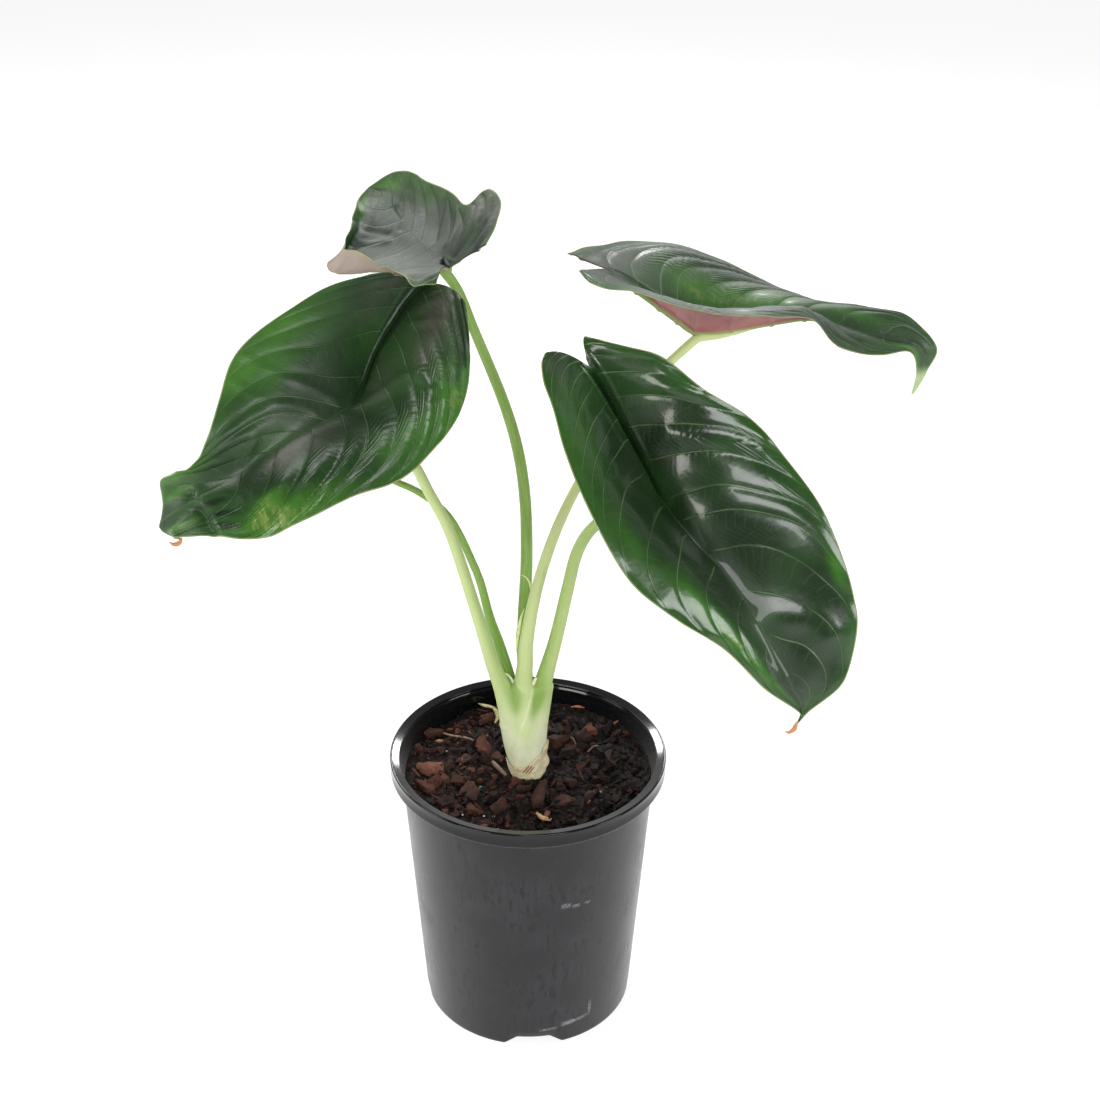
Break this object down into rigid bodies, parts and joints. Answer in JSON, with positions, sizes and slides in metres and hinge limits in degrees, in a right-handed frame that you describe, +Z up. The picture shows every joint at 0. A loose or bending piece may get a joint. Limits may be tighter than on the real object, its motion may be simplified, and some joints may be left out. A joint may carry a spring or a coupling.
{
  "type": "potted green unicorn alocasia",
  "caption": "Alocasia houseplant with glossy dark green arrow-shaped leaves on long arching stalks, sheathed in a short stem, growing in bark mix in a round black nursery pot.",
  "frame": {"origin": "middle of the pot's base, on the surface it stands on", "axes": "+Z up, -Y towards the side seen in the picture, +X to the right there"},
  "size_m": [0.5124, 0.3203, 0.6245],
  "materials": {
    "pot": "glossy black polypropylene with dusty scuffs",
    "potting_mix": "dark brown bark chips and fines, matte",
    "stem": "cream to pale green sheaths, satin",
    "stalk": "light yellow-green, satin",
    "blade": "glossy dark green, veined"
  },
  "bodies": {
    "root": {"pot": "pot", "potting_mix": "potting_mix", "stem": "stem", "stalk_left": "stalk", "stalk_right": "stalk", "stalk_top_right": "stalk", "stalk_top_left": "stalk", "stalk_hidden": "stalk", "blade_left": "blade", "blade_right": "blade", "blade_top_right": "blade", "blade_top_left": "blade", "blade_hidden": "blade"}
  },
  "joints": []
}
